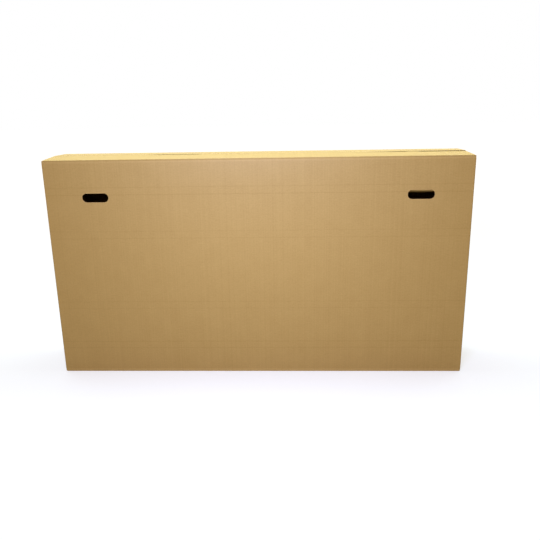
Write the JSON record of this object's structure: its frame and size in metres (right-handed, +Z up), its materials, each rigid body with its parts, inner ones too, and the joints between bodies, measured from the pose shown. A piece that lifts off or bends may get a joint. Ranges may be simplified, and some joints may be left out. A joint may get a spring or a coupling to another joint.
{
  "type": "cardboard bike box",
  "caption": "Tall narrow slotted carton of corrugated kraft board for a packed bicycle, with folding top flaps, hand-holes and a taped bottom.",
  "frame": {"origin": "middle of the underside, on the plane the box stands on", "axes": "+X along the long panels, towards the right-hand end in the picture; -Y out of the front panel, towards the viewer; +Z up, towards the open seam"},
  "size_m": [1.3792, 0.216, 0.7409],
  "materials": {
    "kraft_board": "matte",
    "kraft_flap": "matte",
    "packing_tape": "satin"
  },
  "bodies": {
    "carton": {"front_panel": "kraft_board", "back_panel": "kraft_board", "left_end_panel": "kraft_board", "right_end_panel": "kraft_board", "glue_tab": "kraft_board", "front_bottom_flap": "kraft_flap", "back_bottom_flap": "kraft_flap", "left_bottom_flap": "kraft_flap", "right_bottom_flap": "kraft_flap", "bottom_tape": "packing_tape"},
    "front_flap": {"front_top_flap": "kraft_flap"},
    "back_flap": {"back_top_flap": "kraft_flap"},
    "left_flap": {"left_top_flap": "kraft_flap"},
    "right_flap": {"right_top_flap": "kraft_flap"},
    "front_left_tab": {"front_left_hand_tab": "kraft_flap"},
    "front_right_tab": {"front_right_hand_tab": "kraft_flap"},
    "back_left_tab": {"back_left_hand_tab": "kraft_flap"},
    "back_right_tab": {"back_right_hand_tab": "kraft_flap"}
  },
  "joints": [
    {"name": "front_flap_fold", "type": "hinge", "parent": "carton", "child": "front_flap", "pos_m": [0, -0.108, 0.7372], "axis": [1, 0, 0], "range_deg": [-1, 259]},
    {"name": "back_flap_fold", "type": "hinge", "parent": "carton", "child": "back_flap", "pos_m": [0, 0.108, 0.7372], "axis": [-1, 0, 0], "range_deg": [-2, 258]},
    {"name": "left_flap_fold", "type": "hinge", "parent": "carton", "child": "left_flap", "pos_m": [-0.685, 0, 0.7289], "axis": [0, 1, 0], "range_deg": [0, 85]},
    {"name": "right_flap_fold", "type": "hinge", "parent": "carton", "child": "right_flap", "pos_m": [0.685, 0, 0.7289], "axis": [0, -1, 0], "range_deg": [0, 75]},
    {"name": "front_left_tab_fold", "type": "hinge", "parent": "carton", "child": "front_left_tab", "pos_m": [-0.524, -0.1037, 0.6302], "axis": [1, 0, 0], "range_deg": [-150, 15]},
    {"name": "front_right_tab_fold", "type": "hinge", "parent": "carton", "child": "front_right_tab", "pos_m": [0.524, -0.1037, 0.6302], "axis": [1, 0, 0], "range_deg": [-72, 93]},
    {"name": "back_left_tab_fold", "type": "hinge", "parent": "carton", "child": "back_left_tab", "pos_m": [-0.524, 0.1037, 0.6302], "axis": [-1, 0, 0], "range_deg": [-98, 67]},
    {"name": "back_right_tab_fold", "type": "hinge", "parent": "carton", "child": "back_right_tab", "pos_m": [0.524, 0.1037, 0.6302], "axis": [-1, 0, 0], "range_deg": [-112, 53]}
  ]
}
